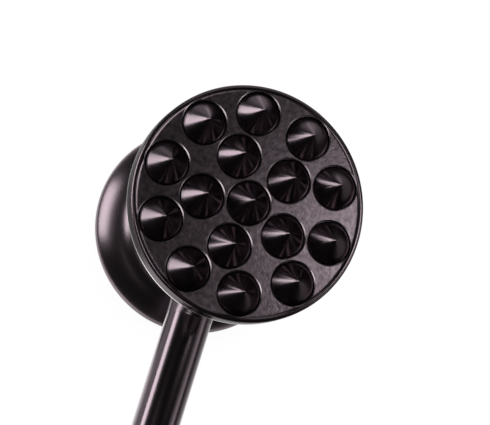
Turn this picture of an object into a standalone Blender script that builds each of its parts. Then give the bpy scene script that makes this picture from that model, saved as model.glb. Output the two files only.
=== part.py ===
"""Meat mallet: a waisted round head with a smooth pounding face at one end and a spiked plate
at the other, on a straight tube handle with a grip. The origin is the centre of the smooth
face, +Z runs up the head to the spikes, and the handle leaves the head along -Y."""

import math

import bmesh
import bpy
from mathutils import Matrix, Vector

# Whole mallet
HEAD_LENGTH = 0.0605            # smooth face to the crest of the plate's lip
HANDLE_REACH = 0.194            # head axis to the far end of the handle tube
SEAT_GAP = 0.0003               # left between pieces that touch
CUT_OVERRUN = 0.002             # how far a cutter runs past what it cuts
JOIN_OVERLAP = 0.0005           # how deep a joined shape starts inside its neighbour
WELD_DISTANCE = 0.000003        # corners closer than this become one

# Head body
FACE_RADIUS = 0.0259            # flat part of the smooth face
RIM_ROUND = 0.0024              # rounding of the smooth face's rim
FLANK_ROUND = 0.019             # bulge of the flank behind the rim
FLANK_START_SLOPE = math.radians(44)
FLANK_END_SLOPE = math.radians(63)
WAIST_RADIUS = 0.0181
BODY_TOP_RADIUS = 0.0245        # land that the plate's rim stands over
WAIST_END = 0.0108              # from the top of the body down to the waist
CAVITY_RADIUS = 0.0112
CAVITY_FLOOR = 0.014            # thickness of the metal behind the smooth face
CAVITY_FLOOR_ROUND = 0.003

# Handle boss on the head body, measured from the head axis
BOSS_REACH = 0.0278
BOSS_LIP = 0.00035              # wall of the boss at its mouth
BOSS_FILLET = 0.009             # sweep from the boss into the waist
SOCKET_FLOOR = 0.0175           # the tube's end stops here
PAD_REACH = 0.0088              # flat seat for the washer, inside the cavity
PAD_RADIUS = 0.0066

# Spiked plate
PLATE_RADIUS = 0.030
PLATE_THICKNESS = 0.0059        # rear face to the crest of the lip
PLATE_FRONT_ROUND = 0.0009      # the rim's round, which ends at the crest of the lip
PLATE_REAR_ROUND = 0.00035
FACE_RECESS = 0.00035           # crest of the lip down to the face between the spikes
RECESS_ROUND = 0.0014           # sweep from the face up to the crest of the lip

# Threaded ring let into the rear of the plate, which screws into the head body
THREAD_RADIUS = 0.012
THREAD_RING_WALL = 0.0035
THREAD_RING_REACH = 0.008       # rear of the plate to the end of the ring
THREAD_RING_SEAT = 0.0012       # how deep the ring sits in the plate
THREAD_END_CLEARANCE = 0.0009   # the ring's end to the floor of its counterbore

# Spikes, each in a round pocket
POCKET_RADIUS = 0.00577
POCKET_DEPTH = 0.0013
SPIKE_BASE_RADIUS = 0.00565
SPIKE_RISE = 0.00635            # tip above the plate's face
SPIKE_TIP_RADIUS = 0.00025
INNER_RING_RADIUS = 0.0120
OUTER_RING_RADIUS = 0.0229
INNER_RING_COUNT = 5
OUTER_RING_COUNT = 10
OUTER_RING_TURN = math.radians(137.07)

# Sealing ring in the rear of the plate
SEAL_RING_RADIUS = 0.0203
SEAL_THICKNESS = 0.0016
GROOVE_SIDE_CLEARANCE = 0.0003

# Handle tube
TUBE_RADIUS = 0.006
TUBE_WALL = 0.0012

# Tie rod and what it clamps with inside the head
ROD_RADIUS = 0.00285
ROD_PAST_NUT = 0.0012
ROD_HOLE_RADIUS = 0.0033
WASHER_RADIUS = 0.006
WASHER_THICKNESS = 0.0012
LOCK_WASHER_RADIUS = 0.0049
LOCK_WASHER_THICKNESS = 0.0012
NUT_ACROSS_FLATS = 0.010
NUT_THICKNESS = 0.005
BUSH_LENGTH = 0.008

# Grip
GRIP_LENGTH = 0.098
GRIP_END_RADIUS = 0.0102
GRIP_SWELL = 0.0012             # how far the middle stands out past the ends
GRIP_EDGE_ROUND = 0.0012
FERRULE_LENGTH = 0.006
FERRULE_FRONT_RADIUS = 0.0082
FERRULE_EDGE_ROUND = 0.0008

# End cap
END_WASHER_THICKNESS = 0.0010
END_WASHER_INSET = 0.0006       # washer's edge inside the grip's edge
CAP_LENGTH = 0.024
CAP_DOME_LENGTH = 0.010
CAP_END_FLAT_RADIUS = 0.003
CAP_THREAD_DEPTH = 0.0085
ROD_TIP_CLEARANCE = 0.0009
HANG_HOLE_RADIUS = 0.0035
HANG_HOLE_FROM_END = 0.0092

# How finely round shapes are cut into flats
HEAD_FLATS = 48
SPIKE_FLATS = 20
HANDLE_FLATS = 32
ROD_FLATS = 20
RING_SECTION_FLATS = 8
ARC_STEPS = 4
BOSS_STEPS = 5
DOME_STEPS = 6
SHARP_ANGLE = math.radians(32)

# Places worked out from the sizes above
PLATE_REAR_Z = HEAD_LENGTH - PLATE_THICKNESS
PLATE_FACE_Z = HEAD_LENGTH - FACE_RECESS
POCKET_FLOOR_Z = PLATE_FACE_Z - POCKET_DEPTH
BODY_TOP_Z = PLATE_REAR_Z - SEAT_GAP
HANDLE_Z = HEAD_LENGTH / 2
THREAD_RING_END_Z = PLATE_REAR_Z - THREAD_RING_REACH
THREAD_RING_SEAT_Z = PLATE_REAR_Z + THREAD_RING_SEAT
COUNTERBORE_FLOOR_Z = THREAD_RING_END_Z - THREAD_END_CLEARANCE
COUNTERBORE_RADIUS = THREAD_RADIUS + SEAT_GAP
SOCKET_RADIUS = TUBE_RADIUS + SEAT_GAP
ROD_FIT_RADIUS = ROD_RADIUS + SEAT_GAP
WASHER_REACH = PAD_REACH - SEAT_GAP - WASHER_THICKNESS
LOCK_WASHER_REACH = WASHER_REACH - SEAT_GAP - LOCK_WASHER_THICKNESS
NUT_REACH = LOCK_WASHER_REACH - SEAT_GAP - NUT_THICKNESS
ROD_START = NUT_REACH - ROD_PAST_NUT
END_WASHER_REACH = HANDLE_REACH + SEAT_GAP
CAP_REACH = END_WASHER_REACH + END_WASHER_THICKNESS + SEAT_GAP
ROD_END = CAP_REACH + CAP_THREAD_DEPTH - ROD_TIP_CLEARANCE
GRIP_REACH = HANDLE_REACH - GRIP_LENGTH
FERRULE_REACH = GRIP_REACH - SEAT_GAP - FERRULE_LENGTH
CAP_RADIUS = GRIP_END_RADIUS

# Turns a shape made along +Z so that it points down the handle
ALONG_HANDLE = Matrix.Translation((0, 0, HANDLE_Z)) @ Matrix.Rotation(math.radians(90), 4, "X")


def clear_scene():
    for item in list(bpy.data.objects):
        bpy.data.objects.remove(item)


def finish_of(name, colour, roughness, metallic):
    material = bpy.data.materials.new(name)
    material.use_nodes = True
    shader = material.node_tree.nodes["Principled BSDF"]
    shader.inputs["Base Color"].default_value = (*colour, 1)
    shader.inputs["Roughness"].default_value = roughness
    shader.inputs["Metallic"].default_value = metallic
    return material


def arc(centre, radius, start, end, steps=ARC_STEPS):
    """Points on an arc in the outline's plane, both ends included."""
    turns = [start + (end - start) * i / steps for i in range(steps + 1)]
    return [(centre[0] + radius * math.cos(t), centre[1] + radius * math.sin(t)) for t in turns]


def turned(outline, flats, closed=False):
    """A mesh turned about Z from (radius, height) points: an open outline has both its ends on
    the axis, and a closed one goes round a section clear of the axis."""
    shape = bmesh.new()
    points = [shape.verts.new((radius, 0, height)) for radius, height in outline]
    edges = [shape.edges.new(pair) for pair in zip(points, points[1:])]
    if closed:
        edges.append(shape.edges.new((points[-1], points[0])))
    bmesh.ops.spin(shape, geom=points + edges, cent=(0, 0, 0), axis=(0, 0, 1),
                   angle=math.tau, steps=flats, use_merge=True)
    bmesh.ops.remove_doubles(shape, verts=shape.verts, dist=WELD_DISTANCE)
    bmesh.ops.recalc_face_normals(shape, faces=shape.faces)
    return shape


def add_piece(name, shape, finish=None, place=Matrix()):
    """Turns a finished mesh into a named object. One with no finish is a cutter or a guide."""
    mesh = bpy.data.meshes.new(name)
    shape.to_mesh(mesh)
    shape.free()
    mesh.shade_smooth()
    mesh.set_sharp_from_angle(angle=SHARP_ANGLE)
    piece = bpy.data.objects.new(name, mesh)
    bpy.context.collection.objects.link(piece)
    piece.matrix_world = place
    if finish:
        mesh.materials.append(finish)
    else:
        piece.hide_render = True
        piece.display_type = "WIRE"
    return piece


def combine(piece, other, operation):
    step = piece.modifiers.new(other.name, "BOOLEAN")
    step.operation = operation
    step.solver = "EXACT"
    step.object = other


def plug(radius, start, end):
    """Outline of a plain round bar, from one end to the other."""
    return [(0, end), (radius, end), (radius, start), (0, start)]


def collar(inner, outer, start, end):
    """Outline of a plain ring's section."""
    return [(outer, end), (outer, start), (inner, start), (inner, end)]


def body_outline():
    """The head body's outer shape: flat face, rounded rim, bulging flank, waist and top land."""
    rim_centre = (FACE_RADIUS, RIM_ROUND)
    flank_start = arc(rim_centre, RIM_ROUND, FLANK_START_SLOPE, FLANK_START_SLOPE, 1)[0]
    flank_centre = (flank_start[0] - FLANK_ROUND * math.cos(FLANK_START_SLOPE),
                    flank_start[1] - FLANK_ROUND * math.sin(FLANK_START_SLOPE))
    flank_end = arc(flank_centre, FLANK_ROUND, FLANK_END_SLOPE, FLANK_END_SLOPE, 1)[0]
    sweep_in = (flank_end[0] - WAIST_RADIUS) / (1 - math.cos(FLANK_END_SLOPE))
    waist_start_z = flank_end[1] + sweep_in * math.sin(FLANK_END_SLOPE)
    top_step = BODY_TOP_RADIUS - WAIST_RADIUS
    sweep_out = (WAIST_END ** 2 + top_step ** 2) / (2 * top_step)
    sweep_angle = math.asin(WAIST_END / sweep_out)
    waist_end_z = BODY_TOP_Z - WAIST_END
    outline = [(0, 0)]
    outline += arc(rim_centre, RIM_ROUND, -math.pi / 2, FLANK_START_SLOPE, 2 * ARC_STEPS)
    outline += arc(flank_centre, FLANK_ROUND, FLANK_START_SLOPE, FLANK_END_SLOPE)[1:]
    outline += arc((WAIST_RADIUS + sweep_in, waist_start_z), sweep_in,
                   math.pi + FLANK_END_SLOPE, math.pi)[1:]
    outline += arc((WAIST_RADIUS + sweep_out, waist_end_z), sweep_out,
                   math.pi, math.pi - sweep_angle)
    outline += [(0, BODY_TOP_Z)]
    return outline


def cavity_outline():
    """The hollow of the head body, with the counterbore that takes the threaded ring."""
    above = BODY_TOP_Z + CUT_OVERRUN
    floor_round = (CAVITY_RADIUS - CAVITY_FLOOR_ROUND, CAVITY_FLOOR + CAVITY_FLOOR_ROUND)
    outline = [(0, above), (COUNTERBORE_RADIUS, above), (COUNTERBORE_RADIUS, COUNTERBORE_FLOOR_Z),
               (CAVITY_RADIUS, COUNTERBORE_FLOOR_Z)]
    outline += arc(floor_round, CAVITY_FLOOR_ROUND, 0, -math.pi / 2)
    outline += [(0, CAVITY_FLOOR)]
    return outline


def boss_shape():
    """The boss that carries the handle: a thin round mouth that sweeps into the waist. The sweep
    is what a ball leaves when it rolls round the mouth while it touches the waist as well."""
    mouth_radius = SOCKET_RADIUS + BOSS_LIP
    ball_reach = mouth_radius + BOSS_FILLET
    ball_orbit = WAIST_RADIUS + BOSS_FILLET
    shape = bmesh.new()
    columns = []
    for i in range(HANDLE_FLATS):
        turn = math.tau * i / HANDLE_FLATS
        outward = Vector((math.cos(turn), math.sin(turn), 0))
        ball = ball_reach * outward
        ball.z = math.sqrt(ball_orbit ** 2 - ball.x ** 2)
        to_mouth = -outward
        to_waist = Vector((-ball.x, 0, -ball.z)).normalized()
        mouth_edge = mouth_radius * outward
        mouth_edge.z = BOSS_REACH
        column = [mouth_edge]
        column += [ball + BOSS_FILLET * to_mouth.slerp(to_waist, step / BOSS_STEPS)
                   for step in range(BOSS_STEPS + 1)]
        column.append(Vector((mouth_edge.x, mouth_edge.y, PAD_REACH)))
        columns.append([shape.verts.new(point) for point in column])
    for left, right in zip(columns, columns[1:] + columns[:1]):
        for k in range(len(left) - 1):
            shape.faces.new((left[k], right[k], right[k + 1], left[k + 1]))
    shape.faces.new([column[0] for column in columns])
    shape.faces.new([column[-1] for column in columns])
    bmesh.ops.recalc_face_normals(shape, faces=shape.faces)
    return shape


def make_head_body(finish):
    body = add_piece("head_body", turned(body_outline(), HEAD_FLATS), finish)
    boss = add_piece("boss_guide", boss_shape(), place=ALONG_HANDLE)
    cavity = add_piece("cavity_cutter", turned(cavity_outline(), HEAD_FLATS))
    pad = add_piece("pad_guide", turned(plug(PAD_RADIUS, PAD_REACH, SOCKET_FLOOR), HANDLE_FLATS),
                    place=ALONG_HANDLE)
    socket_end = BOSS_REACH + CUT_OVERRUN
    socket = add_piece("socket_cutter", turned(
        [(0, socket_end), (SOCKET_RADIUS, socket_end), (SOCKET_RADIUS, SOCKET_FLOOR),
         (ROD_HOLE_RADIUS, SOCKET_FLOOR), (ROD_HOLE_RADIUS, PAD_REACH - CUT_OVERRUN),
         (0, PAD_REACH - CUT_OVERRUN)], HANDLE_FLATS), place=ALONG_HANDLE)
    combine(body, boss, "UNION")
    combine(body, cavity, "DIFFERENCE")
    combine(body, pad, "UNION")
    combine(body, socket, "DIFFERENCE")


def plate_outline():
    """The plate without its spikes: raised lip, face, ring groove and the threaded ring's seat."""
    front = (PLATE_RADIUS - PLATE_FRONT_ROUND, HEAD_LENGTH - PLATE_FRONT_ROUND)
    rear = (PLATE_RADIUS - PLATE_REAR_ROUND, PLATE_REAR_Z + PLATE_REAR_ROUND)
    sweep = math.acos(1 - FACE_RECESS / RECESS_ROUND)
    recess = (front[0] - RECESS_ROUND * math.sin(sweep), PLATE_FACE_Z + RECESS_ROUND)
    groove_outer = SEAL_RING_RADIUS + SEAL_THICKNESS / 2 + GROOVE_SIDE_CLEARANCE
    groove_inner = SEAL_RING_RADIUS - SEAL_THICKNESS / 2 - GROOVE_SIDE_CLEARANCE
    groove_top = PLATE_REAR_Z + SEAL_THICKNESS + SEAT_GAP
    seat_radius = THREAD_RADIUS + SEAT_GAP
    outline = [(0, PLATE_FACE_Z)]
    outline += arc(recess, RECESS_ROUND, -math.pi / 2, sweep - math.pi / 2)
    outline += arc(front, PLATE_FRONT_ROUND, math.pi / 2, 0)[1:]
    outline += arc(rear, PLATE_REAR_ROUND, 0, -math.pi / 2, 2)
    outline += [(groove_outer, PLATE_REAR_Z), (groove_outer, groove_top),
                (groove_inner, groove_top), (groove_inner, PLATE_REAR_Z),
                (seat_radius, PLATE_REAR_Z), (seat_radius, THREAD_RING_SEAT_Z),
                (0, THREAD_RING_SEAT_Z)]
    return outline


def spike_places():
    """Centres of the spikes: one in the middle, then the inner ring and the outer ring."""
    places = [(0, 0)]
    rings = ((INNER_RING_RADIUS, INNER_RING_COUNT, OUTER_RING_TURN - math.pi / OUTER_RING_COUNT),
             (OUTER_RING_RADIUS, OUTER_RING_COUNT, OUTER_RING_TURN))
    for radius, count, turn in rings:
        for i in range(count):
            angle = turn - math.tau * i / count
            places.append((radius * math.cos(angle), radius * math.sin(angle)))
    return places


def repeated(outline):
    """One joined mesh with the turned outline standing at every spike's place."""
    single = bpy.data.meshes.new("single")
    shape = turned(outline, SPIKE_FLATS)
    shape.to_mesh(single)
    shape.free()
    joined = bmesh.new()
    for x, y in spike_places():
        before = len(joined.verts)
        joined.from_mesh(single)
        joined.verts.ensure_lookup_table()
        bmesh.ops.translate(joined, verts=joined.verts[before:], vec=(x, y, 0))
    bpy.data.meshes.remove(single)
    return joined


def make_spike_plate(finish):
    plate = add_piece("spike_plate", turned(plate_outline(), HEAD_FLATS), finish)
    pockets = add_piece("pocket_cutter", repeated(
        plug(POCKET_RADIUS, POCKET_FLOOR_Z, HEAD_LENGTH + CUT_OVERRUN)))
    tip_z = PLATE_FACE_Z + SPIKE_RISE
    root_z = POCKET_FLOOR_Z - JOIN_OVERLAP
    spikes = add_piece("spike_guide", repeated(
        [(0, tip_z), (SPIKE_TIP_RADIUS, tip_z), (SPIKE_BASE_RADIUS, POCKET_FLOOR_Z),
         (SPIKE_BASE_RADIUS, root_z), (0, root_z)]))
    combine(plate, pockets, "DIFFERENCE")
    combine(plate, spikes, "UNION")


def make_plate_thread_ring(finish):
    section = collar(THREAD_RADIUS - THREAD_RING_WALL, THREAD_RADIUS,
                     THREAD_RING_END_Z, THREAD_RING_SEAT_Z - SEAT_GAP)
    add_piece("plate_thread_ring", turned(section, HEAD_FLATS, closed=True), finish)


def make_plate_o_ring(finish):
    radius = SEAL_THICKNESS / 2
    centre = (SEAL_RING_RADIUS, PLATE_REAR_Z + radius)
    section = arc(centre, radius, 0, -math.tau, RING_SECTION_FLATS)[:-1]
    add_piece("plate_o_ring", turned(section, HEAD_FLATS, closed=True), finish)


def make_handle_tube(finish):
    section = collar(TUBE_RADIUS - TUBE_WALL, TUBE_RADIUS, SOCKET_FLOOR + SEAT_GAP, HANDLE_REACH)
    add_piece("handle_tube", turned(section, HANDLE_FLATS, closed=True), finish, ALONG_HANDLE)


def make_tie_rod(finish):
    rod = turned(plug(ROD_RADIUS, ROD_START, ROD_END), ROD_FLATS)
    add_piece("tie_rod", rod, finish, ALONG_HANDLE)


def make_head_washers(finish):
    for name, radius, start, thickness in (
            ("head_washer", WASHER_RADIUS, WASHER_REACH, WASHER_THICKNESS),
            ("head_lock_washer", LOCK_WASHER_RADIUS, LOCK_WASHER_REACH, LOCK_WASHER_THICKNESS)):
        section = collar(ROD_FIT_RADIUS, radius, start, start + thickness)
        add_piece(name, turned(section, ROD_FLATS, closed=True), finish, ALONG_HANDLE)


def make_head_nut(finish):
    shape = bmesh.new()
    corner_radius = NUT_ACROSS_FLATS / 2 / math.cos(math.pi / 6)
    middle = Matrix.Translation((0, 0, NUT_REACH + NUT_THICKNESS / 2))
    bmesh.ops.create_cone(shape, cap_ends=True, segments=6, radius1=corner_radius,
                          radius2=corner_radius, depth=NUT_THICKNESS, matrix=middle)
    nut = add_piece("head_nut", shape, finish, ALONG_HANDLE)
    bore = add_piece("nut_bore_cutter", turned(
        plug(ROD_FIT_RADIUS, NUT_REACH - CUT_OVERRUN, NUT_REACH + NUT_THICKNESS + CUT_OVERRUN),
        ROD_FLATS), place=ALONG_HANDLE)
    combine(nut, bore, "DIFFERENCE")


def make_rod_guide_bush(finish):
    outer = TUBE_RADIUS - TUBE_WALL - SEAT_GAP
    section = collar(ROD_FIT_RADIUS, outer, HANDLE_REACH - BUSH_LENGTH, HANDLE_REACH)
    add_piece("rod_guide_bush", turned(section, HANDLE_FLATS, closed=True), finish, ALONG_HANDLE)


def make_grip_ferrule(finish):
    front = FERRULE_REACH + FERRULE_EDGE_ROUND
    section = [(SOCKET_RADIUS, GRIP_REACH - SEAT_GAP), (GRIP_END_RADIUS, GRIP_REACH - SEAT_GAP)]
    section += arc((FERRULE_FRONT_RADIUS - FERRULE_EDGE_ROUND, front), FERRULE_EDGE_ROUND,
                   0, -math.pi / 2)
    section += [(SOCKET_RADIUS, FERRULE_REACH)]
    add_piece("grip_ferrule", turned(section, HANDLE_FLATS, closed=True), finish, ALONG_HANDLE)


def make_grip_sleeve(finish):
    steps = 2 * ARC_STEPS
    inset = GRIP_EDGE_ROUND
    rear_edge = (GRIP_END_RADIUS - inset, HANDLE_REACH - inset)
    front_edge = (GRIP_END_RADIUS - inset, GRIP_REACH + inset)
    run = GRIP_LENGTH - 2 * inset
    section = [(SOCKET_RADIUS, HANDLE_REACH)]
    section += arc(rear_edge, inset, math.pi / 2, 0)
    section += [(GRIP_END_RADIUS + GRIP_SWELL * math.sin(math.pi * i / steps),
                 HANDLE_REACH - inset - run * i / steps) for i in range(1, steps)]
    section += arc(front_edge, inset, 0, -math.pi / 2)
    section += [(SOCKET_RADIUS, GRIP_REACH)]
    add_piece("grip_sleeve", turned(section, HANDLE_FLATS, closed=True), finish, ALONG_HANDLE)


def make_end_washer(finish):
    section = collar(ROD_FIT_RADIUS, CAP_RADIUS - END_WASHER_INSET,
                     END_WASHER_REACH, END_WASHER_REACH + END_WASHER_THICKNESS)
    add_piece("end_washer", turned(section, HANDLE_FLATS, closed=True), finish, ALONG_HANDLE)


def make_end_cap(finish):
    end = CAP_REACH + CAP_LENGTH
    dome_start = end - CAP_DOME_LENGTH
    dome_width = CAP_RADIUS - CAP_END_FLAT_RADIUS
    turns = [math.pi / 2 * i / DOME_STEPS for i in range(DOME_STEPS, -1, -1)]
    dome = [(CAP_END_FLAT_RADIUS + dome_width * math.cos(turn),
             dome_start + CAP_DOME_LENGTH * math.sin(turn)) for turn in turns]
    outline = [(0, end)] + dome + [(CAP_RADIUS, CAP_REACH), (ROD_FIT_RADIUS, CAP_REACH),
               (ROD_FIT_RADIUS, CAP_REACH + CAP_THREAD_DEPTH), (0, CAP_REACH + CAP_THREAD_DEPTH)]
    cap = add_piece("end_cap", turned(outline, HANDLE_FLATS), finish, ALONG_HANDLE)
    half_width = CAP_RADIUS + CUT_OVERRUN
    across = (Matrix.Translation((0, HANG_HOLE_FROM_END - end, HANDLE_Z))
              @ Matrix.Rotation(math.radians(90), 4, "Y"))
    hole = add_piece("hang_hole_cutter", turned(
        plug(HANG_HOLE_RADIUS, -half_width, half_width), ROD_FLATS), place=across)
    combine(cap, hole, "DIFFERENCE")


def build():
    clear_scene()
    coated = finish_of("black_coated_metal", (0.022, 0.020, 0.021), 0.32, 0.85)
    steel = finish_of("bright_steel", (0.60, 0.60, 0.61), 0.35, 1)
    rubber = finish_of("black_rubber", (0.018, 0.018, 0.018), 0.75, 0)
    grip = finish_of("black_grip", (0.024, 0.023, 0.024), 0.6, 0)
    plastic = finish_of("black_plastic", (0.028, 0.027, 0.028), 0.45, 0)
    white_plastic = finish_of("pale_nylon", (0.75, 0.73, 0.68), 0.5, 0)
    make_head_body(coated)
    make_spike_plate(coated)
    make_plate_thread_ring(steel)
    make_plate_o_ring(rubber)
    make_handle_tube(coated)
    make_tie_rod(steel)
    make_head_washers(steel)
    make_head_nut(steel)
    make_rod_guide_bush(white_plastic)
    make_grip_ferrule(coated)
    make_grip_sleeve(grip)
    make_end_washer(rubber)
    make_end_cap(plastic)


build()
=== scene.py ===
"""The looks of a black-coated meat mallet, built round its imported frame. The sections follow the
mallet as it is put together, from the head to the end cap, and the studio comes last."""

import math

import bmesh
import bpy
from mathutils import Matrix, Vector


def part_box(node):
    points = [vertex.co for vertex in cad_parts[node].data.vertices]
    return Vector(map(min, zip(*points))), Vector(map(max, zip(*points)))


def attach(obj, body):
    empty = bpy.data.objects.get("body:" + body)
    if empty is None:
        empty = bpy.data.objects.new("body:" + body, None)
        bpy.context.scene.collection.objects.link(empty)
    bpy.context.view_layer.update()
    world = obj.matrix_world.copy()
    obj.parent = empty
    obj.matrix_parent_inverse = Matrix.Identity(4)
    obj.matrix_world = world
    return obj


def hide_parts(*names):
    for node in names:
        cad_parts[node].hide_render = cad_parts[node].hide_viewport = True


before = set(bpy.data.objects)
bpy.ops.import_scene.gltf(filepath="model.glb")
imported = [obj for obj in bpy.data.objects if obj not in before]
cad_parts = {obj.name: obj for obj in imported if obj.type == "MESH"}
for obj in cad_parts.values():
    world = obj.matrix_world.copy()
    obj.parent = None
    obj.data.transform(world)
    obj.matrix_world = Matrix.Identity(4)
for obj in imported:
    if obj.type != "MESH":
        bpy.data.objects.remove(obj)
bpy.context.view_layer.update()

# Head body
# One casting, coated black: a flat pounding face with a rounded rim, a bulging flank, a plain
# waist and a flared top. It is hollow, and its top is threaded inside for the spiked plate.
body_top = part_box("head_body")[1].z
FACE_RADIUS = 0.0259
RIM_ROUND = 0.0024
FLANK_ROUND = 0.019
FLANK_START, FLANK_END = math.radians(44), math.radians(63)
WAIST_RADIUS = 0.0181
TOP_RADIUS = 0.0245
TOP_EDGE_ROUND = 0.0003
WAIST_END = 0.0108
BORE_RADIUS = 0.0123
BORE_DEPTH = 0.0086
BORE_THREAD_DEPTH = 0.0004
THREAD_PITCH = 0.002
CAVITY_RADIUS = 0.0112
CAVITY_FLOOR = 0.014
CAVITY_ROUND = 0.003
HANDLE_Z = 0.03025
BOSS_REACH = 0.0278
BOSS_RADIUS = 0.0063
BOSS_MOUTH_RADIUS = 0.00606
BOSS_FILLET = 0.009
SOCKET_RADIUS = 0.00602
SOCKET_FLOOR = 0.0175
PAD_REACH = 0.0088
PAD_RADIUS = 0.0066
ROD_HOLE_RADIUS = 0.0033
HEAD_FLATS = 160
BOSS_FLATS = 96
PAD_FLATS = 48
RIM_STEPS, FLANK_STEPS, SWEEP_IN_STEPS, SWEEP_OUT_STEPS = 20, 10, 16, 14
EDGE_STEPS = 4
CAVITY_STEPS = 8
LIP_STEPS, FILLET_STEPS = 6, 20
ROW_STEP = 0.002
ROWS_PER_THREAD = 8
OVERRUN = 0.002
MERGE_DISTANCE = 0.000002
SAME_RADIUS = 0.00001
SMOOTH_UP_TO = math.radians(35)
ALONG_HANDLE = Matrix.Translation((0, 0, HANDLE_Z)) @ Matrix.Rotation(math.radians(90), 4, "X")


def arc(centre, radius, start, end, steps):
    """Points on an arc in an outline's plane, with both its ends."""
    turns = [start + (end - start) * i / steps for i in range(steps + 1)]
    return [(centre[0] + radius * math.cos(t), centre[1] + radius * math.sin(t)) for t in turns]


def turned(outline, flats, closed=False):
    """Turns an outline of (radius, height) points about Z."""
    shape = bmesh.new()
    points = [shape.verts.new((radius, 0, height)) for radius, height in outline]
    edges = [shape.edges.new(pair) for pair in zip(points, points[1:])]
    if closed:
        edges.append(shape.edges.new((points[-1], points[0])))
    bmesh.ops.spin(shape, geom=points + edges, cent=(0, 0, 0), axis=(0, 0, 1),
                   angle=math.tau, steps=flats, use_merge=True)
    bmesh.ops.remove_doubles(shape, verts=shape.verts, dist=MERGE_DISTANCE)
    bmesh.ops.recalc_face_normals(shape, faces=shape.faces)
    return shape


def cut_thread(shape, radius, depth, pitch, low, high):
    """Winds a screw thread into the rows of a turned shape that stand at one radius."""
    for vert in shape.verts:
        reach = math.hypot(vert.co.x, vert.co.y)
        if low < vert.co.z < high and abs(reach - radius) < SAME_RADIUS:
            turns = vert.co.z / pitch - math.atan2(vert.co.y, vert.co.x) / math.tau
            ridge = abs(2 * (turns % 1) - 1)
            run_out = min(1, (vert.co.z - low) / pitch, (high - vert.co.z) / pitch)
            grown = 1 + depth * ridge * run_out / radius
            vert.co.x *= grown
            vert.co.y *= grown


def rows(radius, start, end, step):
    """Evenly spaced outline points between two heights, without the ends."""
    count = max(2, round(abs(end - start) / step))
    return [(radius, start + (end - start) * i / count) for i in range(1, count)]


def solid(name, shape, place=Matrix()):
    """A bmesh becomes an object whose place is in its mesh."""
    shape.transform(place)
    mesh = bpy.data.meshes.new(name)
    shape.to_mesh(mesh)
    shape.free()
    piece = bpy.data.objects.new(name, mesh)
    bpy.context.scene.collection.objects.link(piece)
    return piece


def combine(piece, other, operation):
    """Joins another shape to a piece, cuts it away, or keeps only what the two share."""
    step = piece.modifiers.new("combine", "BOOLEAN")
    step.operation = operation
    step.object = other
    made = bpy.data.meshes.new_from_object(
        piece.evaluated_get(bpy.context.evaluated_depsgraph_get()))
    piece.modifiers.clear()
    piece.data = made
    bpy.data.objects.remove(other)


def dress(piece, material, body, slot_name, *nodes):
    """Shades a finished piece, gives it its material, and seats it in the frame."""
    piece.data.shade_smooth()
    piece.data.set_sharp_from_angle(angle=SMOOTH_UP_TO)
    piece.data.materials.clear()
    piece.data.materials.append(material)
    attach(piece, body)
    if nodes:
        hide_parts(*nodes)


def add_node(tree, kind, inputs, **settings):
    """Adds a shader node. Each input gets a plain value or the output that feeds it."""
    node = tree.nodes.new(kind)
    for setting, value in settings.items():
        setattr(node, setting, value)
    for socket, value in inputs.items():
        if isinstance(value, bpy.types.NodeSocket):
            tree.links.new(value, node.inputs[socket])
        else:
            node.inputs[socket].default_value = value
    return node


def start_material(name):
    """A new material, with its node tree, its shader and each point's place on the object."""
    material = bpy.data.materials.new(name)
    material.use_nodes = True
    tree = material.node_tree
    place = add_node(tree, "ShaderNodeTexCoord", {}).outputs["Object"]
    return material, tree, tree.nodes["Principled BSDF"], place


def noise(tree, place, scale, detail):
    """A cloudy pattern between 0 and 1."""
    return add_node(tree, "ShaderNodeTexNoise",
                    {"Vector": place, "Scale": scale, "Detail": detail}).outputs["Fac"]


def vary_colour(tree, shader, pattern, colour, darkest, lightest):
    """The colour runs with a pattern between a darker and a lighter share of itself."""
    tint = add_node(tree, "ShaderNodeMix",
                    {"Factor": pattern, "A": (*[c * darkest for c in colour], 1),
                     "B": (*[c * lightest for c in colour], 1)}, data_type="RGBA")
    tree.links.new(tint.outputs["Result"], shader.inputs["Base Color"])


def vary_roughness(tree, shader, pattern, roughness, spread):
    """The roughness runs with a pattern, by a share of itself up and down."""
    sheen = add_node(tree, "ShaderNodeMapRange",
                     {"Value": pattern, "To Min": roughness * (1 - spread),
                      "To Max": roughness * (1 + spread)})
    tree.links.new(sheen.outputs["Result"], shader.inputs["Roughness"])


def raise_grain(tree, shader, pattern, height):
    """A pattern stands up from the surface by a real height."""
    bump = add_node(tree, "ShaderNodeBump", {"Height": pattern, "Distance": height})
    tree.links.new(bump.outputs["Normal"], shader.inputs["Normal"])


def coated_metal(name, colour, roughness, edge_gloss, grain_scale, grain_height,
                 patch_scale=60, unevenness=0.07):
    """Coating on metal: a metallic film with a fine grain from the surface under it."""
    material, tree, shader, place = start_material(name)
    shader.inputs["Metallic"].default_value = 1
    shader.inputs["Specular Tint"].default_value = (edge_gloss, edge_gloss, edge_gloss, 1)
    patches = noise(tree, place, patch_scale, detail=4)
    vary_colour(tree, shader, patches, colour, 1 - unevenness, 1 + unevenness)
    vary_roughness(tree, shader, patches, roughness, spread=0.1)
    raise_grain(tree, shader, noise(tree, place, grain_scale, detail=3), grain_height)
    return material


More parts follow.
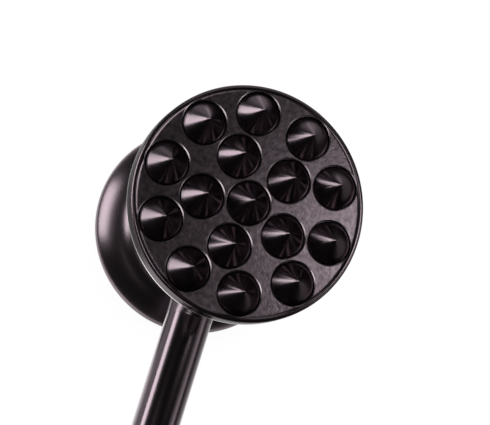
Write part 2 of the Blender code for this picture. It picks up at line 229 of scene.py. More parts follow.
def head_outline():
    """Outer shape from the centre of the pounding face to the top, then down the hollow."""
    rim = (FACE_RADIUS, RIM_ROUND)
    start = arc(rim, RIM_ROUND, FLANK_START, FLANK_START, 1)[0]
    flank = (start[0] - FLANK_ROUND * math.cos(FLANK_START),
             start[1] - FLANK_ROUND * math.sin(FLANK_START))
    end = arc(flank, FLANK_ROUND, FLANK_END, FLANK_END, 1)[0]
    sweep_in = (end[0] - WAIST_RADIUS) / (1 - math.cos(FLANK_END))
    waist_z = end[1] + sweep_in * math.sin(FLANK_END)
    rise = TOP_RADIUS - WAIST_RADIUS
    sweep_out = (WAIST_END ** 2 + rise ** 2) / (2 * rise)
    turn = math.asin(WAIST_END / sweep_out)
    outline = [(0, 0), (FACE_RADIUS / 2, 0)]
    outline += arc(rim, RIM_ROUND, -math.pi / 2, FLANK_START, RIM_STEPS)
    outline += arc(flank, FLANK_ROUND, FLANK_START, FLANK_END, FLANK_STEPS)[1:]
    outline += arc((WAIST_RADIUS + sweep_in, waist_z), sweep_in, math.pi + FLANK_END, math.pi,
                   SWEEP_IN_STEPS)[1:]
    waist_top = body_top - WAIST_END
    outline += rows(WAIST_RADIUS, waist_z, waist_top, ROW_STEP)
    outline += arc((WAIST_RADIUS + sweep_out, waist_top), sweep_out, math.pi, math.pi - turn,
                   SWEEP_OUT_STEPS)
    outline += arc((TOP_RADIUS - TOP_EDGE_ROUND, body_top - TOP_EDGE_ROUND), TOP_EDGE_ROUND,
                   0, math.pi / 2, EDGE_STEPS)
    bore_end = body_top - BORE_DEPTH
    outline.append((BORE_RADIUS, body_top))
    outline += rows(BORE_RADIUS, body_top, bore_end, THREAD_PITCH / ROWS_PER_THREAD)
    outline += [(BORE_RADIUS, bore_end), (CAVITY_RADIUS, bore_end)]
    outline += arc((CAVITY_RADIUS - CAVITY_ROUND, CAVITY_FLOOR + CAVITY_ROUND), CAVITY_ROUND,
                   0, -math.pi / 2, CAVITY_STEPS)
    outline += [(0, CAVITY_FLOOR)]
    return outline


def boss():
    """The mouth that holds the handle, and the even sweep from it into the round waist."""
    ball_reach = BOSS_RADIUS + BOSS_FILLET
    ball_orbit = WAIST_RADIUS + BOSS_FILLET
    shape = bmesh.new()
    columns = []
    for i in range(BOSS_FLATS):
        turn = math.tau * i / BOSS_FLATS
        outward = Vector((math.cos(turn), math.sin(turn), 0))
        ball = ball_reach * outward
        ball.z = math.sqrt(ball_orbit ** 2 - ball.x ** 2)
        to_waist = Vector((-ball.x, 0, -ball.z)).normalized()
        lip = []
        for k in range(LIP_STEPS):
            ease = (1 + math.cos(math.pi * k / LIP_STEPS)) / 2
            radius = BOSS_RADIUS - (BOSS_RADIUS - BOSS_MOUTH_RADIUS) * ease
            height = BOSS_REACH + (ball.z - BOSS_REACH) * k / LIP_STEPS
            lip.append(outward * radius + Vector((0, 0, height)))
        sweep = [ball + BOSS_FILLET * (-outward).slerp(to_waist, k / FILLET_STEPS)
                 for k in range(FILLET_STEPS + 1)]
        inner = Vector((lip[0].x, lip[0].y, SOCKET_FLOOR - OVERRUN))
        columns.append([shape.verts.new(point) for point in lip + sweep + [inner]])
    for left, right in zip(columns, columns[1:] + columns[:1]):
        for k in range(len(left) - 1):
            shape.faces.new((left[k], right[k], right[k + 1], left[k + 1]))
    shape.faces.new([column[0] for column in columns])
    shape.faces.new([column[-1] for column in columns])
    bmesh.ops.recalc_face_normals(shape, faces=shape.faces)
    return shape


def bar(radius, start, end):
    """Outline of a plain round bar."""
    return [(0, end), (radius, end), (radius, start), (0, start)]


head_shape = turned(head_outline(), HEAD_FLATS)
cut_thread(head_shape, BORE_RADIUS, BORE_THREAD_DEPTH, THREAD_PITCH,
           body_top - BORE_DEPTH, body_top)
head = solid("head_casting", head_shape)
combine(head, solid("boss", boss(), ALONG_HANDLE), "UNION")
combine(head, solid("pad", turned(bar(PAD_RADIUS, PAD_REACH, SOCKET_FLOOR - OVERRUN),
                                  PAD_FLATS), ALONG_HANDLE), "UNION")
socket_end = BOSS_REACH + OVERRUN
socket = [(0, socket_end), (SOCKET_RADIUS, socket_end), (SOCKET_RADIUS, SOCKET_FLOOR),
          (ROD_HOLE_RADIUS, SOCKET_FLOOR), (ROD_HOLE_RADIUS, PAD_REACH - OVERRUN),
          (0, PAD_REACH - OVERRUN)]
combine(head, solid("socket", turned(socket, BOSS_FLATS), ALONG_HANDLE), "DIFFERENCE")
COATING = (0.134, 0.107, 0.120)
head_coating = coated_metal("head_coating", COATING, roughness=0.25, edge_gloss=0.8,
                            grain_scale=900, grain_height=0.00001)
dress(head, head_coating, "mallet", "head_coating", "head_body")

# Handle tube
# A straight steel tube, coated black with the head. It seats in the boss and runs back to the cap.
tube_low, tube_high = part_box("handle_tube")
TUBE_RADIUS = 0.006
TUBE_WALL = 0.0012
TUBE_EDGE = 0.0002
TUBE_FLATS = 96
TUBE_ROW_STEP = 0.004
tube_outline = [(TUBE_RADIUS - TUBE_WALL, -tube_high.y)]
tube_outline += [(TUBE_RADIUS - TUBE_EDGE, -tube_high.y), (TUBE_RADIUS, TUBE_EDGE - tube_high.y)]
tube_outline += rows(TUBE_RADIUS, -tube_high.y, -tube_low.y, TUBE_ROW_STEP)
tube_outline += [(TUBE_RADIUS, -tube_low.y - TUBE_EDGE), (TUBE_RADIUS - TUBE_EDGE, -tube_low.y),
                 (TUBE_RADIUS - TUBE_WALL, -tube_low.y)]
tube = solid("handle_pipe", turned(tube_outline, TUBE_FLATS, closed=True), ALONG_HANDLE)
handle_coating = coated_metal("handle_coating", COATING, roughness=0.19, edge_gloss=1,
                              grain_scale=700, grain_height=0.00001)
dress(tube, handle_coating, "mallet", "handle_coating", "handle_tube")

# Tie rod, nut and washers
# A zinc-plated steel rod runs down the tube and clamps the handle to the head. A hexagon nut, a
# split spring washer and a flat washer hold it inside the head, and a nylon bush centres it.
rod_low, rod_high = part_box("tie_rod")
ROD_RADIUS = 0.00285
ROD_THREAD_DEPTH = 0.00035
ROD_PITCH = 0.001
ROD_CHAMFER = 0.0005
NUT_THREAD_LENGTH, CAP_THREAD_LENGTH = 0.0098, 0.0125
ROD_FIT_RADIUS = 0.00315
NUT_ACROSS_FLATS = 0.010
NUT_CHAMFER = 0.0005
WASHER_EDGE = 0.00015
SPLIT_GAP = math.radians(9)
ROD_FLATS = 48
WASHER_FLATS = 64
NUT_FLATS = 96


def turned_steel(name, colour, roughness, stretch):
    """Plated steel with fine turning marks, which a stretch of the pattern draws out, and wear."""
    material, tree, shader, place = start_material(name)
    shader.inputs["Metallic"].default_value = 1
    stretched = add_node(tree, "ShaderNodeMapping", {"Vector": place, "Scale": stretch})
    marks = noise(tree, stretched.outputs["Vector"], scale=300, detail=4)
    wear = noise(tree, place, scale=220, detail=5)
    vary_colour(tree, shader, wear, colour, darkest=0.85, lightest=1.1)
    vary_roughness(tree, shader, marks, roughness, spread=0.25)
    raise_grain(tree, shader, marks, height=0.00001)
    return material


rod_start, rod_end = -rod_high.y, -rod_low.y
rod_root = ROD_RADIUS - ROD_THREAD_DEPTH
shank_start, shank_end = rod_start + NUT_THREAD_LENGTH, rod_end - CAP_THREAD_LENGTH
rod_outline = [(0, rod_end), (rod_root - ROD_CHAMFER, rod_end), (rod_root, rod_end - ROD_CHAMFER)]
rod_outline += rows(rod_root, rod_end - ROD_CHAMFER, shank_end, ROD_PITCH / ROWS_PER_THREAD)
rod_outline += [(rod_root, shank_end), (ROD_RADIUS, shank_end - ROD_THREAD_DEPTH)]
rod_outline += [(ROD_RADIUS, shank_start + ROD_THREAD_DEPTH), (rod_root, shank_start)]
rod_outline += rows(rod_root, shank_start, rod_start + ROD_CHAMFER,
                    ROD_PITCH / ROWS_PER_THREAD)
rod_outline += [(rod_root, rod_start + ROD_CHAMFER), (rod_root - ROD_CHAMFER, rod_start),
                (0, rod_start)]
rod_shape = turned(rod_outline, ROD_FLATS)
cut_thread(rod_shape, rod_root, ROD_THREAD_DEPTH, ROD_PITCH, shank_end, rod_end - ROD_CHAMFER)
cut_thread(rod_shape, rod_root, ROD_THREAD_DEPTH, ROD_PITCH, rod_start + ROD_CHAMFER, shank_start)
rod = solid("threaded_rod", rod_shape, ALONG_HANDLE)
STEEL = (0.60, 0.60, 0.61)
rod_steel = turned_steel("rod_steel", STEEL, roughness=0.3, stretch=(1, 12, 1))
dress(rod, rod_steel, "mallet", "bright_steel", "tie_rod")


def ring_outline(inner, outer, start, end, edge):
    """Section of a flat ring whose four edges are broken."""
    return [(inner, start + edge), (inner + edge, start), (outer - edge, start),
            (outer, start + edge), (outer, end - edge), (outer - edge, end),
            (inner + edge, end), (inner, end - edge)]


def rod_ring(name, box, edge, flats):
    """A flat ring round the rod, as wide and as thick as its box in the frame."""
    low, high = box
    section = ring_outline(ROD_FIT_RADIUS, high.x, -high.y, -low.y, edge)
    return solid(name, turned(section, flats, closed=True), ALONG_HANDLE)


flat_washer = rod_ring("flat_washer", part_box("head_washer"), WASHER_EDGE, WASHER_FLATS)
washer_steel = turned_steel("washer_steel", STEEL, roughness=0.34, stretch=(1, 6, 1))
dress(flat_washer, washer_steel, "mallet", "bright_steel", "head_washer")

split_low, split_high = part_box("head_lock_washer")
split_shape = bmesh.new()
split_section = ring_outline(ROD_FIT_RADIUS, split_high.x, -split_high.y, -split_low.y,
                             WASHER_EDGE)
split_points = [split_shape.verts.new((radius, 0, height)) for radius, height in split_section]
split_edges = [split_shape.edges.new(pair)
               for pair in zip(split_points, split_points[1:] + split_points[:1])]
bmesh.ops.spin(split_shape, geom=split_points + split_edges, cent=(0, 0, 0), axis=(0, 0, 1),
               angle=math.tau - SPLIT_GAP, steps=WASHER_FLATS, use_merge=False)
bmesh.ops.holes_fill(split_shape, edges=[e for e in split_shape.edges if e.is_boundary], sides=0)
bmesh.ops.recalc_face_normals(split_shape, faces=split_shape.faces)
spring_washer = solid("split_spring_washer", split_shape, ALONG_HANDLE)
dress(spring_washer, washer_steel, "mallet", "bright_steel", "head_lock_washer")

nut_low, nut_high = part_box("head_nut")
nut_start, nut_end = -nut_high.y, -nut_low.y
corner_radius = NUT_ACROSS_FLATS / 2 / math.cos(math.pi / 6)
nut_shape = bmesh.new()
bmesh.ops.create_cone(nut_shape, cap_ends=True, segments=6, radius1=corner_radius,
                      radius2=corner_radius, depth=nut_end - nut_start,
                      matrix=Matrix.Translation((0, 0, (nut_start + nut_end) / 2)))
nut = solid("hexagon_nut", nut_shape, ALONG_HANDLE)
nut_round = [(0, nut_end), (corner_radius - 2 * NUT_CHAMFER, nut_end),
             (corner_radius + NUT_CHAMFER, nut_end - 1.5 * NUT_CHAMFER),
             (corner_radius + NUT_CHAMFER, nut_start + 1.5 * NUT_CHAMFER),
             (corner_radius - 2 * NUT_CHAMFER, nut_start), (0, nut_start)]
combine(nut, solid("nut_round", turned(nut_round, NUT_FLATS), ALONG_HANDLE), "INTERSECT")
nut_bore = [(0, nut_end + OVERRUN), (ROD_FIT_RADIUS + OVERRUN + ROD_CHAMFER, nut_end + OVERRUN),
            (ROD_FIT_RADIUS, nut_end - ROD_CHAMFER), (ROD_FIT_RADIUS, nut_start + ROD_CHAMFER),
            (ROD_FIT_RADIUS + OVERRUN + ROD_CHAMFER, nut_start - OVERRUN),
            (0, nut_start - OVERRUN)]
combine(nut, solid("nut_bore", turned(nut_bore, ROD_FLATS), ALONG_HANDLE), "DIFFERENCE")
dress(nut, washer_steel, "mallet", "bright_steel", "head_nut")

bush = rod_ring("nylon_bush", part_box("rod_guide_bush"), 2 * WASHER_EDGE, WASHER_FLATS)


def moulded(name, colour, roughness, pattern, pattern_size, pattern_height):
    """A moulded rubber or plastic with a fine surface pattern and faintly uneven colour."""
    material, tree, shader, place = start_material(name)
    patches = noise(tree, place, scale=150, detail=5)
    vary_colour(tree, shader, patches, colour, darkest=0.8, lightest=1.2)
    vary_roughness(tree, shader, patches, roughness, spread=0.15)
    grain = add_node(tree, pattern, {"Vector": place, "Scale": 1 / pattern_size})
    raise_grain(tree, shader, grain.outputs[0], pattern_height)
    return material


nylon = moulded("nylon", colour=(0.75, 0.73, 0.68), roughness=0.42,
                pattern="ShaderNodeTexNoise", pattern_size=0.0006, pattern_height=0.00002)
dress(bush, nylon, "mallet", "pale_nylon", "rod_guide_bush")

# Seal
# A rubber ring in a groove under the plate keeps water out of the hollow head.
SEAL_FLATS = 160
SEAL_SECTION_FLATS = 20
seal_low, seal_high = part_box("plate_o_ring")
seal_radius = (seal_high.z - seal_low.z) / 2
seal_section = arc((seal_high.x - seal_radius, seal_low.z + seal_radius), seal_radius,
                   0, math.tau, SEAL_SECTION_FLATS)[:-1]
seal = solid("rubber_seal", turned(seal_section, SEAL_FLATS, closed=True))
rubber = moulded("rubber", colour=(0.018, 0.018, 0.018), roughness=0.62,
                 pattern="ShaderNodeTexNoise", pattern_size=0.0004, pattern_height=0.00002)
dress(seal, rubber, "plate_seal", "black_rubber", "plate_o_ring")

# Spiked plate
# A cast and coated disc with a raised lip. Sixteen cones stand in round pockets sunk in its face.
# The rear edge and the pockets' mouths get paler coatings that paint highlights on them.
PLATE_RADIUS = 0.030
PLATE_THICKNESS = 0.0059
FRONT_ROUND = 0.0009
REAR_ROUND = 0.00035
FACE_RECESS = 0.00035
RECESS_ROUND = 0.0014
# how far up the rear edge the painted highlight reaches
REAR_EDGE_HIGHLIGHT_HEIGHT = 0.0005
SEAT_RADIUS = 0.0123
SEAT_DEPTH = 0.0012
POCKET_RADIUS = 0.00569
MOUTH_WIDTH, MOUTH_DEPTH = 0.00028, 0.00012
POCKET_DEPTH = 0.0005
SPIKE_BASE_RADIUS = 0.00565
SPIKE_RISE = 0.00635
SPIKE_TIP_ROUND = 0.00025
RINGS = ((0, 1, 0), (0.0120, 5, 119.07), (0.0229, 10, 137.07))
GROOVE_RADIUS = 0.0203
GROOVE_WIDTH = 0.0022
GROOVE_DEPTH = 0.0019
PLATE_FLATS = 192
SPIKE_FLATS = 64
LIP_SWEEP_STEPS, FRONT_STEPS, REAR_STEPS = 8, 12, 6
TIP_STEPS, SPIKE_ROWS = 5, 10
PLATE_GAP = 0.0003
PLATE_SMOOTH_UP_TO = math.radians(18)
FACE_FIT = 0.00002
FACE_UPRIGHT, MOUTH_UPRIGHT = 0.99, 0.8
# slots for the face's coating and for the painted highlights on the rear edge and the pockets'
# mouths
FACE_SLOT, REAR_EDGE_HIGHLIGHT_SLOT, MOUTH_HIGHLIGHT_SLOT = 1, 2, 3
rear_z = body_top + PLATE_GAP
crest_z = rear_z + PLATE_THICKNESS
face_z = crest_z - FACE_RECESS
floor_z = face_z - POCKET_DEPTH


def plate_outline():
    """The disc without pockets: face, lip, rim, groove for the seal, seat for the ring."""
    sweep = math.acos(1 - FACE_RECESS / RECESS_ROUND)
    front = (PLATE_RADIUS - FRONT_ROUND, crest_z - FRONT_ROUND)
    outline = [(0, face_z), (PLATE_RADIUS / 2, face_z)]
    outline += arc((front[0] - RECESS_ROUND * math.sin(sweep), face_z + RECESS_ROUND),
                   RECESS_ROUND, -math.pi / 2, sweep - math.pi / 2, LIP_SWEEP_STEPS)
    outline += arc(front, FRONT_ROUND, math.pi / 2, 0, FRONT_STEPS)[1:]
    outline += [(PLATE_RADIUS, front[1] - FRONT_ROUND / FRONT_STEPS),
                (PLATE_RADIUS, rear_z + REAR_ROUND + REAR_EDGE_HIGHLIGHT_HEIGHT),
                (PLATE_RADIUS, rear_z + REAR_ROUND + REAR_EDGE_HIGHLIGHT_HEIGHT / 5)]
    outline += arc((PLATE_RADIUS - REAR_ROUND, rear_z + REAR_ROUND), REAR_ROUND,
                   0, -math.pi / 2, REAR_STEPS)
    groove_out, groove_in = GROOVE_RADIUS + GROOVE_WIDTH / 2, GROOVE_RADIUS - GROOVE_WIDTH / 2
    outline += [(groove_out, rear_z), (groove_out, rear_z + GROOVE_DEPTH),
                (groove_in, rear_z + GROOVE_DEPTH), (groove_in, rear_z), (SEAT_RADIUS, rear_z),
                (SEAT_RADIUS, rear_z + SEAT_DEPTH), (0, rear_z + SEAT_DEPTH)]
    return outline


def at_spikes(outline):
    """The same turned shape at the middle and round both rings of spikes."""
    single = bpy.data.meshes.new("single")
    shape = turned(outline, SPIKE_FLATS)
    shape.to_mesh(single)
    shape.free()
    joined = bmesh.new()
    for radius, count, first in RINGS:
        for i in range(count):
            turn = math.radians(first) - math.tau * i / count
            known = len(joined.verts)
            joined.from_mesh(single)
            joined.verts.ensure_lookup_table()
            bmesh.ops.translate(joined, verts=joined.verts[known:],
                                vec=(radius * math.cos(turn), radius * math.sin(turn), 0))
    bpy.data.meshes.remove(single)
    return joined


plate = solid("spiked_disc", turned(plate_outline(), PLATE_FLATS))
mouth_radius = POCKET_RADIUS + MOUTH_WIDTH
pocket = [(0, crest_z + OVERRUN), (mouth_radius, crest_z + OVERRUN), (mouth_radius, face_z),
          (POCKET_RADIUS, face_z - MOUTH_DEPTH), (POCKET_RADIUS, floor_z), (0, floor_z)]
combine(plate, solid("pockets", at_spikes(pocket)), "DIFFERENCE")
tip_z = face_z + SPIKE_RISE
spike_slope = math.atan2(tip_z - floor_z, SPIKE_BASE_RADIUS)
spike = arc((0, tip_z - SPIKE_TIP_ROUND), SPIKE_TIP_ROUND, math.pi / 2,
            math.pi / 2 - spike_slope, TIP_STEPS)
spike += [(SPIKE_BASE_RADIUS * k / SPIKE_ROWS, tip_z - (tip_z - floor_z) * k / SPIKE_ROWS)
          for k in range(1, SPIKE_ROWS + 1)]
spike += [(SPIKE_BASE_RADIUS, floor_z - POCKET_DEPTH / 2), (0, floor_z - POCKET_DEPTH / 2)]
combine(plate, solid("spikes", at_spikes(spike)), "UNION")
plate_coating = coated_metal("plate_coating", COATING, roughness=0.24, edge_gloss=0.4,
                             grain_scale=900, grain_height=0.000004)
face_coating = coated_metal("face_coating", COATING, roughness=0.30, edge_gloss=0.4,
                            grain_scale=1700, grain_height=0.00004, patch_scale=800,
                            unevenness=0.9)
# a pale coating that paints a highlight line on the plate's rear edge
rear_edge_highlight_coating = coated_metal("rear_edge_highlight_coating", colour=(0.7, 0.66, 0.67), roughness=0.3,
                            edge_gloss=1, grain_scale=900, grain_height=0.00001)
# a lighter coating that paints highlight arcs on the pockets' mouths
mouth_highlight_coating = coated_metal("mouth_highlight_coating", colour=(0.27, 0.23, 0.25), roughness=0.24,
                              edge_gloss=0.6, grain_scale=900, grain_height=0.000004)
dress(plate, plate_coating, "plate", "plate_coating", "spike_plate")
plate.data.set_sharp_from_angle(angle=PLATE_SMOOTH_UP_TO)
for coating in (face_coating, rear_edge_highlight_coating, mouth_highlight_coating):
    plate.data.materials.append(coating)
# the face gets its own coating; the band at the rear edge and the pockets' mouths get the coatings
# that paint highlights
for polygon in plate.data.polygons:
    middle = polygon.center
    if polygon.normal.z > FACE_UPRIGHT and abs(middle.z - face_z) < FACE_FIT:
        polygon.material_index = FACE_SLOT
    elif (math.hypot(middle.x, middle.y) > PLATE_RADIUS - REAR_ROUND
          and middle.z < rear_z + REAR_ROUND + REAR_EDGE_HIGHLIGHT_HEIGHT):
        polygon.material_index = REAR_EDGE_HIGHLIGHT_SLOT
    elif (polygon.normal.z > MOUTH_UPRIGHT
          and face_z - MOUTH_DEPTH < middle.z < face_z - MOUTH_DEPTH / 10):
        polygon.material_index = MOUTH_HIGHLIGHT_SLOT

# Threaded ring
# A steel ring let into the back of the plate. It screws the plate into the head.
ring_low, ring_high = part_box("plate_thread_ring")
RING_BORE = 0.0085
RING_THREAD_DEPTH = 0.00045
RING_EDGE = 0.0003
RING_ROWS_PER_THREAD = 10
RING_FLATS = 160
ring_root = ring_high.x - RING_THREAD_DEPTH
ring_section = [(RING_BORE, ring_low.z + RING_EDGE), (RING_BORE + RING_EDGE, ring_low.z),
                (ring_root - RING_EDGE, ring_low.z), (ring_root, ring_low.z + RING_EDGE)]
ring_section += rows(ring_root, ring_low.z + RING_EDGE, rear_z,
                     THREAD_PITCH / RING_ROWS_PER_THREAD)
ring_section += [(ring_root, rear_z), (ring_high.x, rear_z + RING_EDGE / 2),
                 (ring_high.x, ring_high.z), (RING_BORE, ring_high.z)]
thread_shape = turned(ring_section, RING_FLATS, closed=True)
cut_thread(thread_shape, ring_root, RING_THREAD_DEPTH, THREAD_PITCH,
           ring_low.z + RING_EDGE, rear_z)
thread_ring = solid("threaded_ring", thread_shape)
ring_steel = turned_steel("ring_steel", STEEL, roughness=0.3, stretch=(1, 1, 14))
dress(thread_ring, ring_steel, "plate", "bright_steel", "plate_thread_ring")

# Grip
# A coated collar stops the soft sleeve, which is moulded with shallow rings and a pebbled skin.
collar_low, collar_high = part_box("grip_ferrule")
collar_start, collar_end = -collar_high.y, -collar_low.y
COLLAR_FRONT_RADIUS = 0.0082
COLLAR_EDGE = 0.0008
GRIP_FLATS = 128
GRIP_EDGE_STEPS = 8
collar_section = [(SOCKET_RADIUS, collar_end), (collar_high.x - COLLAR_EDGE / 4, collar_end),
                  (collar_high.x, collar_end - COLLAR_EDGE / 4)]
collar_section += arc((COLLAR_FRONT_RADIUS - COLLAR_EDGE, collar_start + COLLAR_EDGE),
                      COLLAR_EDGE, 0, -math.pi / 2, GRIP_EDGE_STEPS)
collar_section += [(SOCKET_RADIUS + COLLAR_EDGE / 4, collar_start),
                   (SOCKET_RADIUS, collar_start + COLLAR_EDGE / 4)]
collar = solid("collar", turned(collar_section, GRIP_FLATS, closed=True), ALONG_HANDLE)
dress(collar, handle_coating, "mallet", "handle_coating", "grip_ferrule")

sleeve_low, sleeve_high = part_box("grip_sleeve")
sleeve_start, sleeve_end = -sleeve_high.y, -sleeve_low.y
SLEEVE_END_RADIUS = 0.0102
SLEEVE_EDGE = 0.0012
SLEEVE_SWELL = sleeve_high.x - SLEEVE_END_RADIUS
SLEEVE_RINGS = 15
RING_PITCH = 0.0048
RING_DEPTH = 0.00045
RING_WIDTH = 0.0014
SLEEVE_ROWS = 420
sleeve_run = sleeve_end - sleeve_start - 2 * SLEEVE_EDGE
rings_start = (sleeve_start + sleeve_end - RING_PITCH * SLEEVE_RINGS) / 2
sleeve_section = [(SOCKET_RADIUS, sleeve_end)]
sleeve_section += arc((SLEEVE_END_RADIUS - SLEEVE_EDGE, sleeve_end - SLEEVE_EDGE), SLEEVE_EDGE,
                      math.pi / 2, 0, GRIP_EDGE_STEPS)
for i in range(1, SLEEVE_ROWS):
    along = sleeve_run * i / SLEEVE_ROWS
    reach = sleeve_end - SLEEVE_EDGE - along
    radius = SLEEVE_END_RADIUS + SLEEVE_SWELL * math.sin(math.pi * along / sleeve_run)
    if 0 < reach - rings_start < RING_PITCH * SLEEVE_RINGS:
        off_ring = abs((reach - rings_start) % RING_PITCH - RING_PITCH / 2)
        radius -= RING_DEPTH * max(0, math.cos(min(off_ring / RING_WIDTH, 1) * math.pi) + 1) / 2
    sleeve_section.append((radius, reach))
sleeve_section += arc((SLEEVE_END_RADIUS - SLEEVE_EDGE, sleeve_start + SLEEVE_EDGE), SLEEVE_EDGE,
                      0, -math.pi / 2, GRIP_EDGE_STEPS)
sleeve_section += [(SOCKET_RADIUS, sleeve_start)]
sleeve = solid("soft_sleeve", turned(sleeve_section, GRIP_FLATS, closed=True), ALONG_HANDLE)
grip_skin = moulded("grip_skin", colour=(0.024, 0.023, 0.024), roughness=0.55,
                    pattern="ShaderNodeTexVoronoi", pattern_size=0.0007, pattern_height=0.00012)
dress(sleeve, grip_skin, "mallet", "black_grip", "grip_sleeve")

# End cap
# A rubber washer, then a moulded plastic cap that screws on the rod. The hole through the cap
# takes a hook or a cord.
end_pad = rod_ring("end_pad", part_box("end_washer"), 2 * WASHER_EDGE, GRIP_FLATS)
dress(end_pad, rubber, "cap_seal", "black_rubber", "end_washer")

cap_low, cap_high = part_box("end_cap")
cap_start, cap_end = -cap_high.y, -cap_low.y
CAP_DOME_LENGTH = 0.010
CAP_FLAT_RADIUS = 0.003
CAP_EDGE = 0.0003
CAP_BORE_DEPTH = 0.0085
HOLE_RADIUS = 0.0035
HOLE_FROM_END = 0.0092
HOLE_FLARE = 0.0011
HOLE_FLATS = 64
FLARE_STEPS = 12
DOME_STEPS = 24
cap_radius = cap_high.x
dome_width = cap_radius - CAP_FLAT_RADIUS
cap_outline = [(0, cap_end)]
cap_outline += [(CAP_FLAT_RADIUS + dome_width * math.cos(math.pi / 2 * i / DOME_STEPS),
                 cap_end - CAP_DOME_LENGTH * (1 - math.sin(math.pi / 2 * i / DOME_STEPS)))
                for i in range(DOME_STEPS, -1, -1)]
cap_outline += [(cap_radius, cap_start + CAP_EDGE), (cap_radius - CAP_EDGE, cap_start),
                (ROD_FIT_RADIUS + CAP_EDGE, cap_start), (ROD_FIT_RADIUS, cap_start + CAP_EDGE)]
cap_outline += rows(ROD_FIT_RADIUS, cap_start + CAP_EDGE, cap_start + CAP_BORE_DEPTH,
                    ROD_PITCH / ROWS_PER_THREAD)
cap_outline += [(ROD_FIT_RADIUS, cap_start + CAP_BORE_DEPTH), (0, cap_start + CAP_BORE_DEPTH)]
cap_shape = turned(cap_outline, GRIP_FLATS)
cut_thread(cap_shape, ROD_FIT_RADIUS, ROD_THREAD_DEPTH, ROD_PITCH, cap_start + CAP_EDGE,
           cap_start + CAP_BORE_DEPTH)
cap = solid("screw_cap", cap_shape, ALONG_HANDLE)
hole_outline = [(0, cap_radius + OVERRUN), (HOLE_RADIUS + 2 * HOLE_FLARE, cap_radius + OVERRUN)]
hole_outline += arc((HOLE_RADIUS + 2 * HOLE_FLARE, cap_radius - 2 * HOLE_FLARE), 2 * HOLE_FLARE,
                    math.pi / 2, math.pi, FLARE_STEPS)
hole_outline += [(radius, -height) for radius, height in reversed(hole_outline)]
across_cap = (Matrix.Translation((0, HOLE_FROM_END - cap_end, HANDLE_Z))
              @ Matrix.Rotation(math.radians(90), 4, "Y"))
combine(cap, solid("hanging_hole", turned(hole_outline, HOLE_FLATS), across_cap), "DIFFERENCE")
cap_plastic = moulded("cap_plastic", colour=(0.028, 0.027, 0.028), roughness=0.4,
                      pattern="ShaderNodeTexNoise", pattern_size=0.0003, pattern_height=0.00004)
dress(cap, cap_plastic, "cap", "cap_plastic", "end_cap")

# Studio
# A white floor and backdrop, a softbox at the left, dim panels right and behind, a small one near
# the face and a strip in front. In the coating the floor glows in painted bands of light, with
# painted shade near the plate.
FLOOR_HALF_WIDTH = 3
FLOOR_WHITE = 0.85
FLOOR_ROUGHNESS = 0.9
# distance to the right of the head, and how bright the floor's painted glow is there in the
# coating
FLOOR_BANDS = ((-0.40, 0.1), (-0.25, 0.6), (-0.18, 0.8), (-0.13, 0.7), (-0.09, 0.65), (-0.07, 0.7),
               (-0.055, 0.95), (-0.045, 1.3), (-0.035, 1.8), (-0.02, 2.2), (-0.01, 1.6), (0, 1.05),
               (0.02, 1.1), (0.03, 1.2), (0.045, 0.95), (0.07, 0.7), (0.1, 0.54), (0.16, 0.36),
               (0.4, 0.1))
BAND_REACH = 0.4
BRIGHTEST_BAND = 2.2
# painted shade darkens the bands in an arc left of the head; they fade out in front, below the
# grip and past it
SHADE_RING = 0.048
SHADE_CORE, SHADE_REACH = 0.007, 0.012
SHADE_MIDDLE = (-0.052, 0.004, 0)
SHADE_SPREAD, SHADE_FADE = 0.036, 0.050
SHADE_LEVEL = 0.08
FRONT_DARK, FRONT_LIT = -0.26, -0.12
# the camera sees the floor as a white glow, with a little of its own shading for the shadow
CAMERA_FLOOR = 1.06
CAMERA_GLOW = 0.85
# the room lights every surface, but is almost black in the coating
ROOM_LIGHT = 0.75
ROOM_MIRRORED = 0.02

stage_shape = bmesh.new()
bmesh.ops.create_grid(stage_shape, x_segments=1, y_segments=1, size=FLOOR_HALF_WIDTH)
floor = solid("floor", stage_shape)


def worked(tree, operation, *values):
    """The output of a sum on numbers or outputs."""
    node = add_node(tree, "ShaderNodeMath", dict(enumerate(values)), operation=operation)
    return node.outputs["Value"]


def eased(tree, value, start, end, low, high):
    """Goes softly from one level to another while a value goes from start to end."""
    return add_node(tree, "ShaderNodeMapRange",
                    {"Value": value, "From Min": start, "From Max": end, "To Min": low,
                     "To Max": high}, interpolation_type="SMOOTHSTEP").outputs["Result"]


floor_paint, floor_tree, floor_shader, floor_place = start_material("floor_paint")
floor_paint.cycles.emission_sampling = "NONE"
floor_shader.inputs["Base Color"].default_value = (FLOOR_WHITE, FLOOR_WHITE, FLOOR_WHITE, 1)
floor_shader.inputs["Roughness"].default_value = FLOOR_ROUGHNESS
floor_axes = add_node(floor_tree, "ShaderNodeSeparateXYZ", {0: floor_place})
floor_across = add_node(floor_tree, "ShaderNodeMapRange",
                        {"Value": floor_axes.outputs["X"], "From Min": -BAND_REACH,
                         "From Max": BAND_REACH})
bands = add_node(floor_tree, "ShaderNodeValToRGB", {"Fac": floor_across.outputs["Result"]})
bands.color_ramp.elements[1].position = 1
for across, _ in FLOOR_BANDS[1:-1]:
    bands.color_ramp.elements.new((across / BAND_REACH + 1) / 2)
for element, (_, level) in zip(bands.color_ramp.elements, FLOOR_BANDS):
    share = level / BRIGHTEST_BAND
    element.color = (share, share, share, 1)
from_head = add_node(floor_tree, "ShaderNodeVectorMath", {0: floor_place}, operation="LENGTH")
from_shade = add_node(floor_tree, "ShaderNodeVectorMath", {0: floor_place, 1: SHADE_MIDDLE},
                      operation="DISTANCE")
ring_miss = worked(floor_tree, "ABSOLUTE",
                   worked(floor_tree, "SUBTRACT", from_head.outputs["Value"], SHADE_RING))
shaded_level = SHADE_LEVEL * BRIGHTEST_BAND
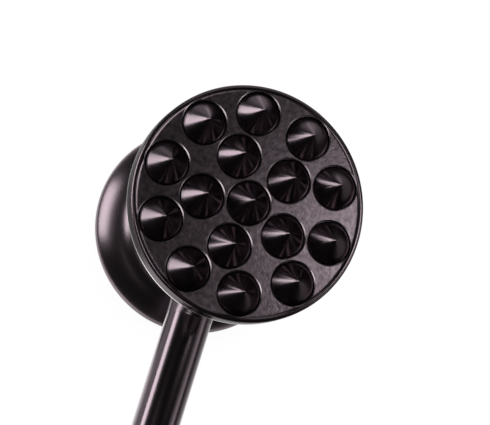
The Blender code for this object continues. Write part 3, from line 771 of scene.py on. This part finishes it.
lit_level = worked(floor_tree, "MAXIMUM",
                   eased(floor_tree, ring_miss, SHADE_CORE, SHADE_REACH,
                         shaded_level, BRIGHTEST_BAND),
                   eased(floor_tree, from_shade.outputs["Value"], SHADE_SPREAD, SHADE_FADE,
                         shaded_level, BRIGHTEST_BAND))
toward_head = eased(floor_tree, floor_axes.outputs["Y"], FRONT_DARK, FRONT_LIT, 0, 1)
mirrored_floor = worked(floor_tree, "MULTIPLY", bands.outputs["Color"],
                        worked(floor_tree, "MULTIPLY", lit_level, toward_head))
seen = add_node(floor_tree, "ShaderNodeLightPath", {})
glow_level = add_node(floor_tree, "ShaderNodeMix",
                      {"Factor": seen.outputs["Is Camera Ray"], "A": mirrored_floor,
                       "B": CAMERA_FLOOR})
glow = add_node(floor_tree, "ShaderNodeEmission", {"Strength": glow_level.outputs["Result"]})
seen_or_mirrored = worked(floor_tree, "MAXIMUM", seen.outputs["Is Glossy Ray"],
                          seen.outputs["Is Transmission Ray"])
glow_share = worked(floor_tree, "MULTIPLY_ADD", seen.outputs["Is Camera Ray"], CAMERA_GLOW,
                    seen_or_mirrored)
floor_mix = add_node(floor_tree, "ShaderNodeMixShader",
                     {0: glow_share, 1: floor_shader.outputs[0], 2: glow.outputs[0]})
floor_tree.links.new(floor_mix.outputs[0], floor_tree.nodes["Material Output"].inputs["Surface"])
floor.data.materials.append(floor_paint)

world = bpy.data.worlds.new("studio")
bpy.context.scene.world = world
world.use_nodes = True
world.cycles.sampling_method = "NONE"
backdrop = world.node_tree.nodes["Background"]
backdrop.inputs["Color"].default_value = (1, 1, 1, 1)
room_seen = add_node(world.node_tree, "ShaderNodeLightPath", {})
room_level = add_node(world.node_tree, "ShaderNodeMix",
                      {"Factor": room_seen.outputs["Is Camera Ray"], "A": ROOM_LIGHT, "B": 1})
mirrored_level = add_node(world.node_tree, "ShaderNodeMix",
                          {"Factor": room_seen.outputs["Is Glossy Ray"],
                           "A": room_level.outputs["Result"], "B": ROOM_MIRRORED})
world.node_tree.links.new(mirrored_level.outputs["Result"], backdrop.inputs["Strength"])

CAMERA_PLACE = Vector((-0.10478, -0.10873, 0.57306))
CAMERA_TURN = (math.radians(7.5235), math.radians(-14.3870), math.radians(17.4393))
CAMERA_LENS = 157.445
SENSOR_WIDTH = 36
camera = bpy.data.objects.new("camera", bpy.data.cameras.new("camera"))
bpy.context.scene.collection.objects.link(camera)
camera.location = CAMERA_PLACE
camera.rotation_euler = CAMERA_TURN
camera.data.lens = CAMERA_LENS
camera.data.sensor_width = SENSOR_WIDTH
bpy.context.scene.camera = camera
bpy.context.scene.view_settings.view_transform = "Standard"

# name, azimuth and elevation in degrees, distance, width, height, brightness
LAMPS = (
    ("left_softbox", 178, 11, 0.40, 0.29, 0.12, 3.7),
    ("left_softbox_rim", 178, 13, 0.41, 0.27, 0.16, 2.4),
    ("right_panel", 0, 19, 0.50, 0.40, 0.13, 0.75),
    ("right_haze", 0, 22, 0.52, 0.40, 0.30, 0.35),
    ("back_panel", 92, 31, 0.60, 0.76, 0.41, 0.45),
    ("face_panel", 19, 60, 0.18, 0.05, 0.07, 4.9),
    ("front_strip", 221, 60, 0.50, 0.20, 0.10, 4),
)
LAMP_CENTRE = Vector((0, 0, 0.03))
for name, azimuth, elevation, distance, width, height, brightness in LAMPS:
    azimuth, elevation = math.radians(azimuth), math.radians(elevation)
    toward = Vector((math.cos(azimuth) * math.cos(elevation),
                     math.sin(azimuth) * math.cos(elevation), math.sin(elevation)))
    lamp = bpy.data.objects.new(name, bpy.data.lights.new(name, "AREA"))
    bpy.context.scene.collection.objects.link(lamp)
    lamp.data.shape = "RECTANGLE"
    lamp.data.size, lamp.data.size_y = width, height
    lamp.data.energy = brightness * width * height * math.pi
    lamp.location = LAMP_CENTRE + toward * distance
    lamp.rotation_euler = toward.to_track_quat("Z", "Y").to_euler()
    lamp.visible_camera = False
